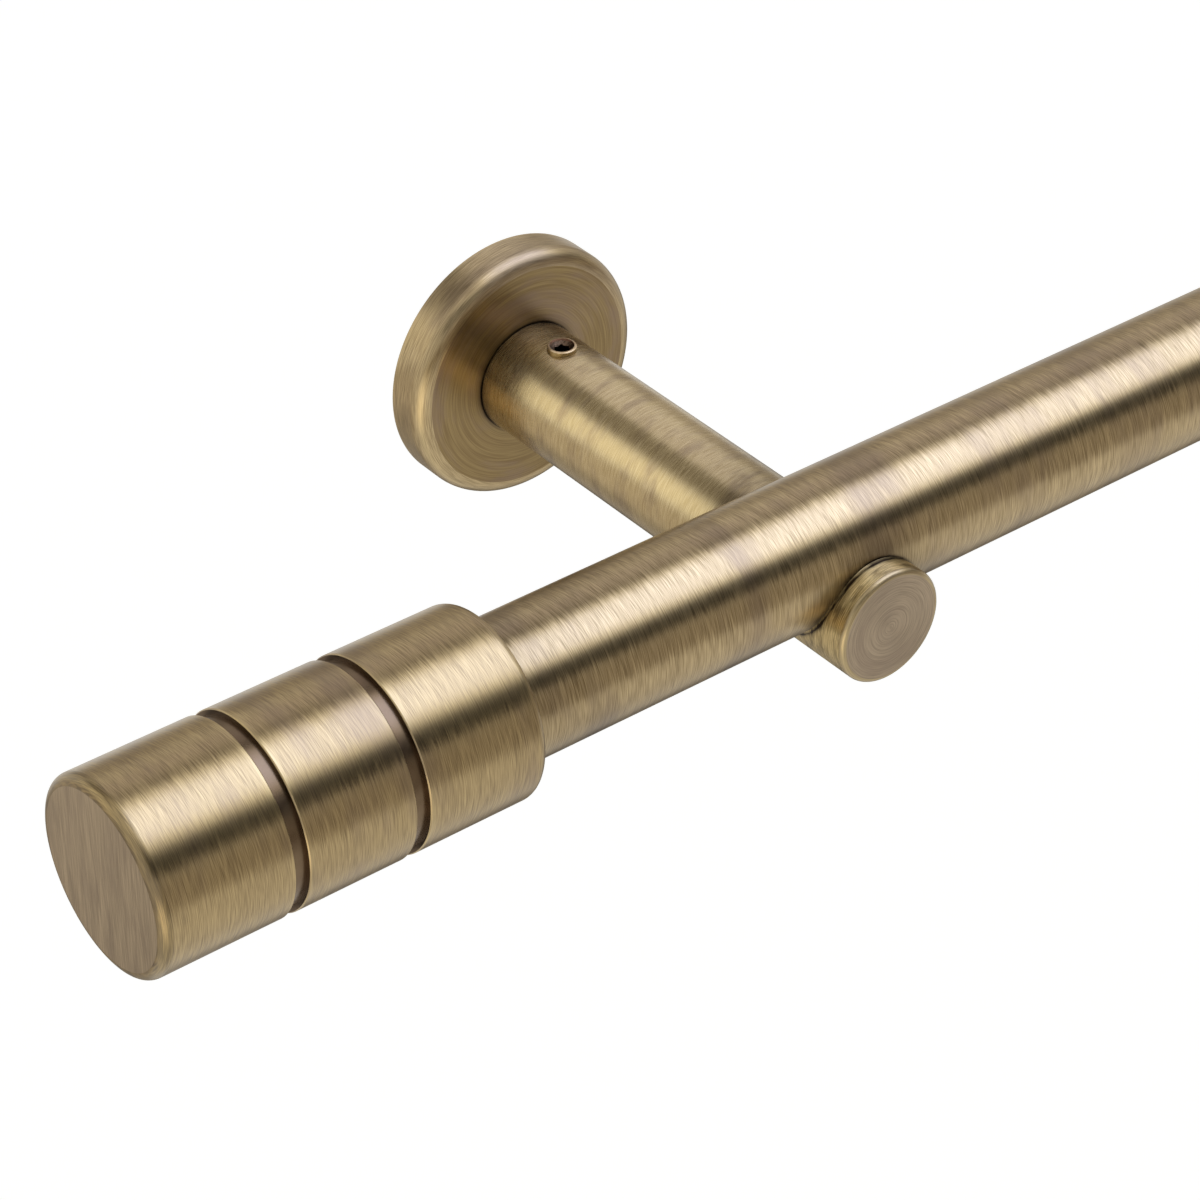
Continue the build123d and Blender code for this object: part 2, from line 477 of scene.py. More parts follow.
def straight(
    start: tuple[float, float],
    end: tuple[float, float],
    finish: int = 0,
    step: float = 0.0,
    fine_start: bool = False,
    fine_end: bool = False,
) -> Stretch:
    """Make a straight stretch, with more rings beside an end that is worn.

    Args:
        start: First (along, radius) point, in mm.
        end: Last point.
        finish: Number of its finish on the piece.
        step: Distance between its rings, or 0 for none between its ends.
        fine_start: More rings near the first point.
        fine_end: More rings near the last point.

    Returns:
        The stretch.
    """
    length = math.dist(start, end)
    marks = {0.0, length}
    if step:
        count = max(1, round(length / step))
        marks.update(length * number / count for number in range(count))
    for offset in FINE_RINGS:
        if fine_start and offset < length / 2:
            marks.add(offset)
        if fine_end and offset < length / 2:
            marks.add(length - offset)
    kept = []
    for mark in sorted(marks):
        if not kept or mark - kept[-1] > RING_GAP:
            kept.append(mark)
    kept[-1] = length
    points = tuple(
        (start[0] + (end[0] - start[0]) * mark / length, start[1] + (end[1] - start[1]) * mark / length)
        for mark in kept
    )
    return Stretch(points, finish)


def path(*points: tuple[float, float], finish: int = 0) -> list[Stretch]:
    """Make straight stretches of one finish from point to point."""
    return [straight(start, end, finish) for start, end in zip(points, points[1:])]


def rounded(
    centre: tuple[float, float],
    radius: float,
    first: float,
    last: float,
    finish: int = 0,
    steps: int = 10,
) -> Stretch:
    """Make a round stretch.

    Args:
        centre: Its centre as (along, radius), in mm.
        radius: Its own radius, in mm.
        first: First angle in degrees, 0 along the axis and 90 away from it.
        last: Last angle.
        finish: Number of its finish on the piece.
        steps: Number of facets.

    Returns:
        The stretch.
    """
    points = []
    for number in range(steps + 1):
        angle = math.radians(first + (last - first) * number / steps)
        points.append((centre[0] + radius * math.cos(angle), centre[1] + radius * math.sin(angle)))
    return Stretch(tuple(points), finish, centre, hollow=last > first)


@dataclass
class Turning:
    """A solid of revolution: an origin and an axis in metres, and the stretches of its profile.

    A worn ring is given as its place along the axis and its radius in mm, and how worn it is.
    """

    origin: Vector
    axis: Vector
    stretches: list[Stretch]
    worn: tuple[tuple[float, float, float], ...] = ()
    segments: int = 192

    def spokes(self) -> tuple[Vector, Vector]:
        """Give two directions square to the axis.

        Returns:
            The two, square to each other as well.
        """
        first = Vector((0, 0, 1)).cross(self.axis)
        if first.length < 0.5:
            first = Vector((1, 0, 0))
        first.normalize()
        return first, self.axis.cross(first)

    def measure(self, point: Vector) -> tuple[float, float, Vector]:
        """Measure a point from the axis.

        Args:
            point: The point, in metres.

        Returns:
            Its place along the axis and its distance from it in mm, and the way it lies.
        """
        offset = point - self.origin
        along = offset.dot(self.axis)
        away = offset - self.axis * along
        radius = away.length
        way = away / radius if radius > SAME_POINT * MM else self.spokes()[0]
        return along / MM, radius / MM, way

    def mesh(self, name: str) -> Mesh:
        """Turn the profile round the axis.

        Args:
            name: The mesh's name.

        Returns:
            A closed mesh.
        """
        first, second = self.spokes()
        rings = []
        bands = []
        for stretch in self.stretches:
            for point in stretch.points:
                if not rings or math.dist(point, rings[-1]) > SAME_POINT:
                    rings.append(point)
                    bands.append(stretch.finish)
        closed = math.dist(rings[0], rings[-1]) < SAME_POINT
        if closed:
            rings.pop()
        vertices = []
        starts = []
        for along, radius in rings:
            starts.append(len(vertices))
            count = 1 if radius < SAME_POINT else self.segments
            for number in range(count):
                angle = 2 * math.pi * number / self.segments
                spoke = first * math.cos(angle) + second * math.sin(angle)
                vertices.append(self.origin + self.axis * along * MM + spoke * radius * MM)
        faces = []
        finishes = []
        pairs = len(rings) if closed else len(rings) - 1
        for number in range(pairs):
            following = (number + 1) % len(rings)
            low, high = starts[number], starts[following]
            low_count = 1 if rings[number][1] < SAME_POINT else self.segments
            high_count = 1 if rings[following][1] < SAME_POINT else self.segments
            for turn in range(self.segments):
                ahead = (turn + 1) % self.segments
                corners = [
                    low + turn % low_count,
                    low + ahead % low_count,
                    high + ahead % high_count,
                    high + turn % high_count,
                ]
                faces.append(list(dict.fromkeys(corners)))
                finishes.append(bands[following] if following else self.stretches[-1].finish)
        mesh = bpy.data.meshes.new(name)
        mesh.from_pydata(vertices, [], faces)
        mesh.polygons.foreach_set("material_index", finishes)
        return mesh

    def match(
        self, points: list[Vector], facing: Vector, slack: float, sign: float
    ) -> tuple[int, list[Vector]] | None:
        """Find the stretch that a face lies on, and the true normals at its corners.

        Args:
            points: The face's corners.
            facing: The face's own normal.
            slack: How far a corner may lie off the true surface, in mm.
            sign: 1 for the solid, -1 where it is cut away from another.

        Returns:
            The stretch's finish and the normals, or None if the face lies on none.
        """
        measured = [self.measure(point) for point in points]
        for stretch in self.stretches:
            if not all(stretch.holds(along, radius, slack) for along, radius, _ in measured):
                continue
            normals = []
            for along, radius, way in measured:
                share_along, share_away = stretch.normal(along, radius)
                normals.append((self.axis * share_along + way * share_away) * sign)
            if sum(normals, Vector()).dot(facing) > SAME_WAY * len(normals):
                return stretch.finish, normals
        return None

    def closeness(self, point: Vector, reach: float) -> float:
        """Give how worn a point is by the worn rings.

        Args:
            point: The point, in metres.
            reach: How far the wear fades, in mm.

        Returns:
            The wear, from 0 to 1.
        """
        along, radius, _ = self.measure(point)
        values = [
            share * fading(math.dist((along, radius), (ring_along, ring_radius)), reach)
            for ring_along, ring_radius, share in self.worn
        ]
        return max(values, default=0.0)


def hole_cutter(
    mouth: Vector, axis: Vector, start: float, end: float, radius: float, segments: int
) -> Turning:
    """Make the cutter of a drilled hole.

    Args:
        mouth: Where it is measured from, in metres.
        axis: The way that the drill runs.
        start: Where the cutter starts along the axis, in mm.
        end: Where it ends, in mm.
        radius: Its radius, in mm.
        segments: Number of facets round it.

    Returns:
        The cutter.
    """
    profile = path((start, 0), (start, radius), (end, radius), (end, 0), finish=3)
    return Turning(mouth, axis, profile, segments=segments)


@dataclass
class Channel:
    """The cradle's cutter: a U across the stem, round at its floor and open at the top."""

    centre: Vector
    radius: float
    half_length: float
    top: float
    finish: int
    steps: int = 96

    def mesh(self, name: str) -> Mesh:
        """Make the cutter along X.

        Args:
            name: The mesh's name.

        Returns:
            A closed mesh.
        """
        outline = [(self.radius, self.top), (-self.radius, self.top)]
        for number in range(self.steps + 1):
            angle = math.pi * (1 + number / self.steps)
            outline.append((self.radius * math.cos(angle), self.radius * math.sin(angle)))
        count = len(outline)
        vertices = []
        for side in (-self.half_length, self.half_length):
            for across, up in outline:
                vertices.append(self.centre + Vector((side, across, up)))
        faces = [list(range(count)), list(range(2 * count - 1, count - 1, -1))]
        for number in range(count):
            following = (number + 1) % count
            faces.append([number, number + count, following + count, following])
        mesh = bpy.data.meshes.new(name)
        mesh.from_pydata(vertices, [], faces)
        return mesh

    def off(self, point: Vector) -> float:
        """Measure a point from the U's surface.

        Args:
            point: The point, in metres.

        Returns:
            How far off it is, in metres.
        """
        offset = point - self.centre
        if offset.z < 0:
            return abs(math.hypot(offset.y, offset.z) - self.radius)
        return abs(abs(offset.y) - self.radius)

    def match(
        self, points: list[Vector], facing: Vector, slack: float, sign: float
    ) -> tuple[int, list[Vector]] | None:
        """Find the true normals of a face on the cradle.

        Args:
            points: The face's corners.
            facing: The face's own normal.
            slack: How far a corner may lie off the true surface, in mm.
            sign: Not used: the cradle is always cut away.

        Returns:
            The cradle's finish and the normals, or None if the face does not lie on it.
        """
        if any(self.off(point) > slack * MM for point in points):
            return None
        normals = []
        for point in points:
            offset = point - self.centre
            normals.append(-Vector((0, offset.y, min(offset.z, 0.0))).normalized())
        if sum(normals, Vector()).dot(facing) > SAME_WAY * len(normals):
            return self.finish, normals
        return None


def make_object(name: str, mesh: Mesh, place: Vector | None = None) -> Object:
    """Put a mesh into the scene.

    Args:
        name: The object's name.
        mesh: Its mesh.
        place: Its own origin, in metres.

    Returns:
        The object.
    """
    thing = bpy.data.objects.new(name, mesh)
    if place is not None:
        thing.location = place
    bpy.context.collection.objects.link(thing)
    return thing


def cut(name: str, solid: Mesh, cutters: list[Mesh]) -> Mesh:
    """Cut closed meshes away from another.

    Args:
        name: The new mesh's name.
        solid: What is cut.
        cutters: What is cut away.

    Returns:
        The new mesh.
    """
    body = make_object("work_solid", solid)
    tools = []
    for cutter in cutters:
        tool = make_object("work_cutter", cutter)
        tools.append(tool)
        step = body.modifiers.new("cut", "BOOLEAN")
        step.operation = "DIFFERENCE"
        step.solver = "EXACT"
        step.object = tool
    bpy.context.view_layer.update()
    shaped = body.evaluated_get(bpy.context.evaluated_depsgraph_get())
    mesh = bpy.data.meshes.new_from_object(shaped)
    mesh.name = name
    for thing in (body, *tools):
        old = thing.data
        bpy.data.objects.remove(thing)
        bpy.data.meshes.remove(old)
    return mesh


def smooth_true(
    mesh: Mesh, solid: Turning, cutters: list["Turning | Channel"], slack: float = 0.03
) -> None:
    """Give each face the finish and the true normals of the form that it lies on.

    Args:
        mesh: The mesh to dress.
        solid: The turned solid.
        cutters: The forms that were cut away from it.
        slack: How far a corner may lie off its form, in mm.
    """
    normals = []
    for face in mesh.polygons:
        points = [mesh.vertices[index].co for index in face.vertices]
        found = solid.match(points, face.normal, slack, 1.0)
        for cutter in cutters:
            found = found or cutter.match(points, face.normal, slack, -1.0)
        if found is None:
            normals.extend([tuple(face.normal)] * len(points))
            continue
        face.material_index = found[0]
        normals.extend(tuple(normal) for normal in found[1])
    mesh.polygons.foreach_set("use_smooth", [True] * len(mesh.polygons))
    mesh.normals_split_custom_set(normals)


def wear_edges(mesh: Mesh, solid: Turning, reach: float, channel: Channel | None = None) -> None:
    """Mark how worn each point is, nearest the rims and edges.

    Args:
        mesh: The mesh to mark.
        solid: The turned solid with its worn rings.
        reach: How far the wear reaches, in mm.
        channel: A cradle whose edges are worn as well.
    """
    values = []
    for vertex in mesh.vertices:
        value = solid.closeness(vertex.co, reach)
        if channel is not None:
            value = max(value, CRADLE_WEAR * fading(channel.off(vertex.co) / MM, reach))
        values.append(value)
    attribute = mesh.attributes.new("wear", "FLOAT", "POINT")
    attribute.data.foreach_set("value", values)


def dark_joint_and_painted_shade(gap: float, halo: float, halo_share: float) -> float:
    """Give how dark it is beside a joint: a thin dark line in it, and a halo of painted shade.

    Args:
        gap: Distance from the joint, in mm.
        halo: How far the halo reaches, in mm.
        halo_share: How dark the halo is at the joint, from 0 to 1.

    Returns:
        The darkness's share of the colour.
    """
    return JOINT_LINE_SHARE * fading(gap, JOINT_LINE) + halo_share * fading(gap, halo)


def darken_joints_and_paint_shade(mesh: Mesh, share: Callable[[Vector], float]) -> None:
    """Mark how dark the joint lines and the painted shade are at each point of a mesh."""
    attribute = mesh.attributes.new("dark_joint_and_painted_shade", "FLOAT", "POINT")
    attribute.data.foreach_set("value", [share(vertex.co) for vertex in mesh.vertices])


def dress_node(name: str, material: Material) -> None:
    """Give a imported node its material, in every slot that it has.

    Args:
        name: The node.
        material: The material.
    """
    node = bpy.data.objects[name]
    if not node.material_slots:
        node.data.materials.append(material)
    for place in node.material_slots:
        place.material = material


def put_in(
    node: str, name: str, mesh: Mesh, materials: list[Material], place: Vector | None = None
) -> None:
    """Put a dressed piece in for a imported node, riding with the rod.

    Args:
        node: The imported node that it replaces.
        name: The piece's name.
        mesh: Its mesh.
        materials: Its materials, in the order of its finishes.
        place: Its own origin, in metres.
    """
    piece = make_object(name, mesh, place)
    for material in materials:
        mesh.materials.append(material)
    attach(piece, "root")
    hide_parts(node)
    log.info("%s: %d faces", piece.name, len(mesh.polygons))


# Faces squared on a lathe: fine rings about the middle
TURNED_NOSE = AntiqueBrass(
    "antique_brass_nose_turned",
    BrushLines.RINGS,
    line_light="#9d8b73",
    line_dark="#857560",
    line_pitch=0.18,
    line_length=6.0,
    waver=0.015,
    line_depth=0.005,
    patch_width=4.0,
    patch_length=16.0,
    patch_share=0.45,
)


def made(finish: AntiqueBrass | PlainMetal) -> Material:
    """Give a field whose material is made with its set."""
    return field(default_factory=finish.material)


@dataclass
class Finishes:
    """Every material of the rod, made once and shared."""

    # Brass tube, antiqued and brushed as it turns: lines run round it
    pole: Material = made(AntiqueBrass("antique_brass_pole_brushed", BrushLines.ROUND_POLE))
    # The same bath and brush on the thicker turned barrel
    barrel: Material = made(AntiqueBrass(
        "antique_brass_finial_brushed",
        BrushLines.ROUND_POLE,
        line_light="#b09a70",
        line_dark="#887555",
        waver=0.055,
    ))
    # The belt rounds the rim over and takes less of the bath off it
    rim: Material = made(AntiqueBrass(
        "antique_brass_finial_rim_brushed",
        BrushLines.ROUND_POLE,
        line_light="#9c875f",
        line_dark="#75654a",
        patina="#6c5d4e",
        edge="#a8946a",
    ))
    # The flat end is rubbed up and down on a belt: straight lines and no ring
    end_face: Material = made(AntiqueBrass(
        "antique_brass_end_linished",
        BrushLines.STRAIGHT,
        line_light="#b8a588",
        line_dark="#98866c",
        line_pitch=0.2,
        line_length=16.0,
        waver=0.02,
        line_depth=0.006,
        patch_width=5.0,
        patch_length=18.0,
        patch_share=0.35,
        edge="#b9a273",
    ))
    # The brush does not reach a groove: it keeps the bath's dark brown
    groove: Material = made(PlainMetal("antique_brass_groove_unbrushed", "#7e6b53", "#5a4836", 0.3))
    # Solid bar takes the brush more evenly than the tube: paler, with faint lines
    stem: Material = made(AntiqueBrass(
        "antique_brass_stem_brushed",
        BrushLines.ROUND_STEM,
        line_light="#cfbb91",
        line_dark="#b19c72",
        patina="#7d6859",
        patch_width=5.0,
        patch_length=12.0,
        line_length=4.0,
        waver=0.03,
        patch_share=0.45,
        roughness=0.27,
        anisotropy=0.45,
    ))
    # The rose's rim is brushed on the lathe and left darker than the bar
    rose: Material = made(AntiqueBrass(
        "antique_brass_rose_brushed", BrushLines.ROUND_STEM, edge="#cbb688"
    ))
    # The nose's side beside the pole: lighter lines than the stem's, a painted highlight for the bright
    # band that it reflects there, with dark patches at random
    nose_side: Material = made(AntiqueBrass(
        "antique_brass_nose_side_brushed_painted_highlight",
        BrushLines.ROUND_STEM,
        line_light="#e2cc98",
        line_dark="#9a8558",
        patina="#544631",
        patch_width=1.6,
        patch_length=5.0,
        patch_share=0.65,
    ))
    # The nose's rim is rounded with a file and shows more of the yellow metal
    nose_rim: Material = made(
        replace(
            TURNED_NOSE,
            name="antique_brass_nose_rim_filed",
            line_light="#ab9872",
            line_dark="#917f60",
            patina="#7d6b52",
        )
    )
    nose_face: Material = made(TURNED_NOSE)
    # The rose's face is left browner, with softer rings
    rose_face: Material = made(AntiqueBrass(
        "antique_brass_rose_face_turned",
        BrushLines.RINGS,
        line_light="#8f7a52",
        line_dark="#786341",
        patina="#816d5e",
        edge="#95815a",
        line_pitch=0.25,
        line_length=12.0,
        waver=0.025,
        line_depth=0.006,
        patch_width=6.0,
        patch_length=20.0,
        patch_share=0.6,
    ))
    # Bores see neither brush nor lacquer
    inside: Material = made(PlainMetal("brass_bore_dull", "#6f5f48", "#4a3e30", 0.5))
    # The cradle and the joints keep the bath's residue
    joint: Material = made(PlainMetal("antique_brass_joint_dark", "#1e1610", "#0e0a07", 0.6))
    # A brass-plated screw: its rim is bright where the driver has rubbed it
    screw_rim: Material = made(PlainMetal("brass_screw_rim_rubbed", "#d8c3a0", "#a98a62", 0.35, 0.8))
    # The rest of its end is copper brown
    screw_end: Material = made(PlainMetal(
        "brass_screw_end_browned", "#6e4e3c", "#3e2a1e", 0.3, 0.8, 0.03
    ))
    # The socket's bevel is bare steel with glints
    screw_bevel: Material = made(PlainMetal(
        "steel_screw_bevel_bare", "#7c6450", "#0e0a07", 0.3, 0.35, 0.45
    ))
    # The thread's brass plating is dull and gold brown
    screw_side: Material = made(PlainMetal("brass_screw_side_dull", "#b8a070", "#86704a", 0.45, 0.8))
    # The socket is oily black
    screw_socket: Material = made(PlainMetal("steel_screw_socket_oiled", "#2a2320", "#120e0c", 0.4))
    # Zinc plate is blue grey with soft clouds
    zinc: Material = made(PlainMetal("steel_zinc_plated", "#b4b8bc", "#8e9398", 0.4))
    # Hardened steel, oil blackened
    screw: Material = made(PlainMetal("steel_screw_blackened", "#8a8078", "#4a423c", 0.35, 1.5))


@dataclass
class Pole:
    """The tube, as (along, radius) rings from its left end. Sizes are in mm."""

    finishes: Finishes
    wall: float = 1.2
    end_chamfer: float = 0.3
    # Rings are closer together beside the stems and the finials' inner ends
    joint_reach: float = 19.0
    entry_reach: float = 3.0
    joint_step: float = 0.4
    plain_step: float = 100.0
    # Painted shade beside the stems and the finials, broader under the tube
    halo: float = 3.5
    under_halo: float = 3.0
    halo_share: float = 0.35

    def build(self) -> None:
        """Turn and dress the tube."""
        low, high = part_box("pole")
        length = (high[0] - low[0]) / MM
        radius = (high[2] - low[2]) / 2 / MM
        bore = radius - self.wall
        chamfer = self.end_chamfer
        origin = Vector((low[0], (low[1] + high[1]) / 2, (low[2] + high[2]) / 2))
        covers = [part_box(f"{side}_finial") for side in ("left", "right")]
        entries = [(covers[0][1][0] - low[0]) / MM, (covers[1][0][0] - low[0]) / MM]
        stems = [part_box(f"{side}_stem") for side in ("left", "right")]
        middles = [((stem[0][0] + stem[1][0]) / 2 - low[0]) / MM for stem in stems]
        stem_radius = (stems[0][1][0] - stems[0][0][0]) / 2 / MM
        stem_height = (stems[0][0][2] + stems[0][1][2]) / 2
        marks = [
            chamfer,
            *(place + way * self.entry_reach for place in entries for way in (-1, 1)),
            *(place + way * self.joint_reach for place in middles for way in (-1, 1)),
            length - chamfer,
        ]
        marks.sort()
        outside = []
        for number, (start, end) in enumerate(zip(marks, marks[1:])):
            step = self.joint_step if number % 2 else self.plain_step
            outside.append(straight((start, radius), (end, radius), step=step))
        solid = Turning(
            origin,
            Vector((1, 0, 0)),
            [
                *path((0, bore), (0, radius - chamfer), (chamfer, radius)),
                *outside,
                *path((length - chamfer, radius), (length, radius - chamfer), (length, bore)),
                *path((length, bore), (0, bore), finish=1),
            ],
        )

        def shade(point: Vector) -> float:
            """Give the dark joint line and the painted shade beside a stem or a finial's inner end, the
            shade broader under the tube.

            Args:
                point: A point of the tube, in metres.

            Returns:
                The darkness, from 0 to 1.
            """
            along = (point.x - low[0]) / MM
            up = (point.z - stem_height) / MM
            gaps = [math.hypot(along - middle, up) - stem_radius for middle in middles]
            gaps.extend((along - entries[0], entries[1] - along))
            under = max(0.0, (origin.z - point.z) / MM / radius)
            return dark_joint_and_painted_shade(min(gaps), self.halo * (1.0 + self.under_halo * under), self.halo_share)

        mesh = solid.mesh("pole_tube")
        smooth_true(mesh, solid, [])
        darken_joints_and_paint_shade(mesh, shade)
        materials = [self.finishes.pole, self.finishes.inside]
        put_in("pole", "pole_tube", mesh, materials)


@dataclass
class Finial:
    """A turned barrel with two grooves, measured from its inner end. Sizes are in mm."""

    side: str
    outward: int
    finishes: Finishes
    rim_rounding: float = 2.0
    rim_wear: float = 0.3
    lip_wear: float = 1.0
    wear_reach: float = 0.55
    end_wall: float = 5.0
    shoulder: float = 2.0
    socket_radius: float = 14.15
    socket_depth: float = 25.3
    outer_band: float = 26.5
    middle_band: float = 22.3
    groove_width: float = 2.8
    groove_depth: float = 1.2
    lip: float = 0.2
    screw_radius: float = 2.05
    screw_setback: float = 10.0
    # Where the drill starts below the axis, in radii of the barrel
    drill_start: float = 1.2

    def groove(self, middle: float, radius: float) -> list[Stretch]:
        """Give the profile of one groove and its lips.

        Args:
            middle: The groove's middle, from the finial's inner end.
            radius: The barrel's radius.

        Returns:
            The stretches, from the inner lip to the outer one.
        """
        start = middle - self.groove_width / 2
        end = middle + self.groove_width / 2
        floor = radius - self.groove_depth
        top = radius - self.lip
        return [
            *path((start - self.lip, radius), (start, top)),
            *path((start, top), (start, floor), (end, floor), (end, top), finish=2),
            *path((end, top), (end + self.lip, radius)),
        ]

    def build(self) -> None:
        """Turn, drill and dress the finial."""
        node = f"{self.side}_finial"
        low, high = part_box(node)
        length = (high[0] - low[0]) / MM
        radius = (high[2] - low[2]) / 2 / MM
        inner_x = high[0] if self.outward < 0 else low[0]
        place = Vector((inner_x, (low[1] + high[1]) / 2, (low[2] + high[2]) / 2))
        axis = Vector((self.outward, 0, 0))
        rim = self.rim_rounding
        inset = rim * ROUND_INSET
        socket = self.socket_radius
        depth = self.socket_depth
        core = socket - self.shoulder
        bottom = length - self.end_wall
        outer_groove = length - self.outer_band - self.groove_width / 2
        inner_groove = outer_groove - self.groove_width - self.middle_band
        reach = self.groove_width / 2 + self.lip
        worn = [(inset, radius - inset, self.rim_wear), (length - inset, radius - inset, self.rim_wear)]
        for middle in (inner_groove, outer_groove):
            worn.extend((middle + way * reach, radius, self.lip_wear) for way in (-1, 1))

        def band(start: float, end: float) -> Stretch:
            """Give a plain band of the barrel, with more rings at its worn ends."""
            return straight((start, radius), (end, radius), step=2, fine_start=True, fine_end=True)

        solid = Turning(
            Vector(),
            axis,
            [
                *path((bottom, 0), (bottom, core), (depth, core), finish=3),
                *path((depth, core), (depth, socket), (0, socket), finish=3),
                *path((0, socket), (0, radius - rim)),
                rounded((rim, radius - rim), rim, 180, 90),
                band(rim, inner_groove - reach),
                *self.groove(inner_groove, radius),
                band(inner_groove + reach, outer_groove - reach),
                *self.groove(outer_groove, radius),
                band(outer_groove + reach, length - rim),
                rounded((length - rim, radius - rim), rim, 90, 0, finish=4),
                straight((length, radius - rim), (length, 0), finish=1, step=2, fine_start=True),
            ],
            tuple(worn),
        )
        # The screw's hole is drilled from below, into the socket
        start = -self.drill_start * radius * MM
        below = Vector((self.outward * self.screw_setback * MM, 0, start))
        drill = hole_cutter(below, Vector((0, 0, 1)), 0, radius, self.screw_radius, segments=48)
        mesh = cut(f"{node}_barrel", solid.mesh("work"), [drill.mesh("work")])
        smooth_true(mesh, solid, [drill])
        wear_edges(mesh, solid, self.wear_reach)
        sheen = self.finishes
        materials = [sheen.barrel, sheen.end_face, sheen.groove, sheen.inside, sheen.rim]
        put_in(node, f"{node}_barrel", mesh, materials, place)
        dress_node(f"{node}_set_screw", sheen.screw)


@dataclass
class Bracket:
    """A stem with its cradle, on a rose that hides the wall plate. Sizes are in mm."""

    side: str
    finishes: Finishes
    cradle_clearance: float = 0.55
    nose_rounding: float = 1.0
    back_chamfer: float = 0.15
    spigot_bore: float = 8.1
    spigot_depth: float = 23.0
    screw_clearance: float = 0.05
    screw_chamfer: float = 0.2
    screw_lip: float = 0.26
    screw_key: float = 3.0
    screw_cup: float = 2.3
    rose_wall: float = 2.0
    rose_rounding: float = 3.3
    rose_bore: float = 8.5
    nose_wear: float = 0.5
    stem_wear_reach: float = 0.25
    rose_wear: float = 0.6
    foot_wear: float = 1.0
    rose_wear_reach: float = 0.6
    # Painted shade beside the rose, broadest on the upper outer side of the stem
    halo: float = 1.2
    top_halo: float = 9.0
    halo_power: int = 4
    halo_share: float = 0.35
    # Painted shade at the cradle, behind the pole and before it
    cradle_halo: float = 14.0
    nose_halo: float = 0.7
    cradle_halo_share: float = 0.42

    def centre(self) -> Vector:
        """Give the middle of the wall plate's back."""
        low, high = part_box(f"{self.side}_wall_plate")
        return Vector(((low[0] + high[0]) / 2, high[1], (low[2] + high[2]) / 2))

    def drill(self, screw: str, centre: Vector, upward: int, radius: float) -> Turning:
        """Make the cutter of a set screw's hole, from the stem's surface to its middle.

        Args:
            screw: The screw's node.
            centre: The bracket's centre.
            upward: 1 where it is drilled from below, -1 where from above.
            radius: The stem's radius, in mm.

        Returns:
            The cutter.
        """
        low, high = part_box(screw)
        hole = (high[0] - low[0]) / 2 / MM + self.screw_clearance
        mouth = Vector((0, (low[1] + high[1]) / 2 - centre.y, -upward * radius * MM))
        return hole_cutter(mouth, Vector((0, 0, upward)), -1.0, radius, hole, segments=64)

    def build_stem(self) -> None:
        """Turn, cut and dress the stem."""
        node = f"{self.side}_stem"
        centre = self.centre()
        low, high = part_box(node)
        pole_low, pole_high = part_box("pole")
        radius = (high[0] - low[0]) / 2 / MM
        back = (centre.y - high[1]) / MM
        nose = (centre.y - low[1]) / MM
        rim = self.nose_rounding
        inset = rim * ROUND_INSET
        chamfer = self.back_chamfer
        bore = self.spigot_bore
        bore_end = back + self.spigot_depth
        split = (centre.y - (pole_low[1] + pole_high[1]) / 2) / MM
        solid = Turning(
            Vector(),
            Vector((0, -1, 0)),
            [
                *path((bore_end, 0), (bore_end, bore), (back, bore), (back, radius - chamfer), finish=3),
                *path((back, radius - chamfer), (back + chamfer, radius), finish=2),
                straight((back + chamfer, radius), (split, radius), step=0.8, fine_start=True),
                straight((split, radius), (nose - rim, radius), finish=4, step=0.4, fine_end=True),
                rounded((nose - rim, radius - rim), rim, 90, 0, finish=5, steps=8),
                straight((nose, radius - rim), (nose, 0), finish=1, step=1.0, fine_start=True),
            ],
            ((nose - inset, radius - inset, self.nose_wear),),
            segments=160,
        )
        pole_centre = (Vector(pole_low) + Vector(pole_high)) / 2
        clear = 2 * radius * MM
        channel = Channel(
            Vector((0, pole_centre.y - centre.y, pole_centre.z - centre.z)),
            (pole_high[2] - pole_low[2]) / 2 + self.cradle_clearance * MM,
            half_length=clear,
            top=clear,
            finish=2,
        )
        top_hole = self.drill(f"{self.side}_stem_set_screw", centre, -1, radius)
        under_hole = self.drill(f"{self.side}_pole_set_screw", centre, 1, radius)
        cutters = [channel, top_hole, under_hole]
        mesh = cut(f"{node}_bar", solid.mesh("work"), [cutter.mesh("work") for cutter in cutters])
        smooth_true(mesh, solid, cutters)
        wear_edges(mesh, solid, self.stem_wear_reach, channel)
        outward = 1 if self.side == "left" else -1

        def shade(point: Vector) -> float:
            """Give the dark joint lines and the painted shade beside the rose and in the cradle.

            Args:
                point: A point of the stem, in metres from the bracket's centre.

            Returns:
                The darkness, from 0 to 1.
            """
            # The painted shade reaches furthest on the upper outer side of the stem
            lit = max(0.0, (point.z - outward * point.x) / MM / radius / math.sqrt(2))
            halo = self.halo + self.top_halo * lit**self.halo_power
            behind = point.y > channel.centre.y
            return max(
                dark_joint_and_painted_shade(-point.y / MM - back, halo, self.halo_share),
                dark_joint_and_painted_shade(
                    channel.off(point) / MM,
                    self.cradle_halo if behind else self.nose_halo,
                    self.cradle_halo_share,
                ),
            )

        darken_joints_and_paint_shade(mesh, shade)
        sheen = self.finishes
        materials = [
            sheen.stem,
            sheen.nose_face,
            sheen.joint,
            sheen.inside,
            sheen.nose_side,
            sheen.nose_rim,
        ]
        put_in(node, f"{node}_bar", mesh, materials, centre)

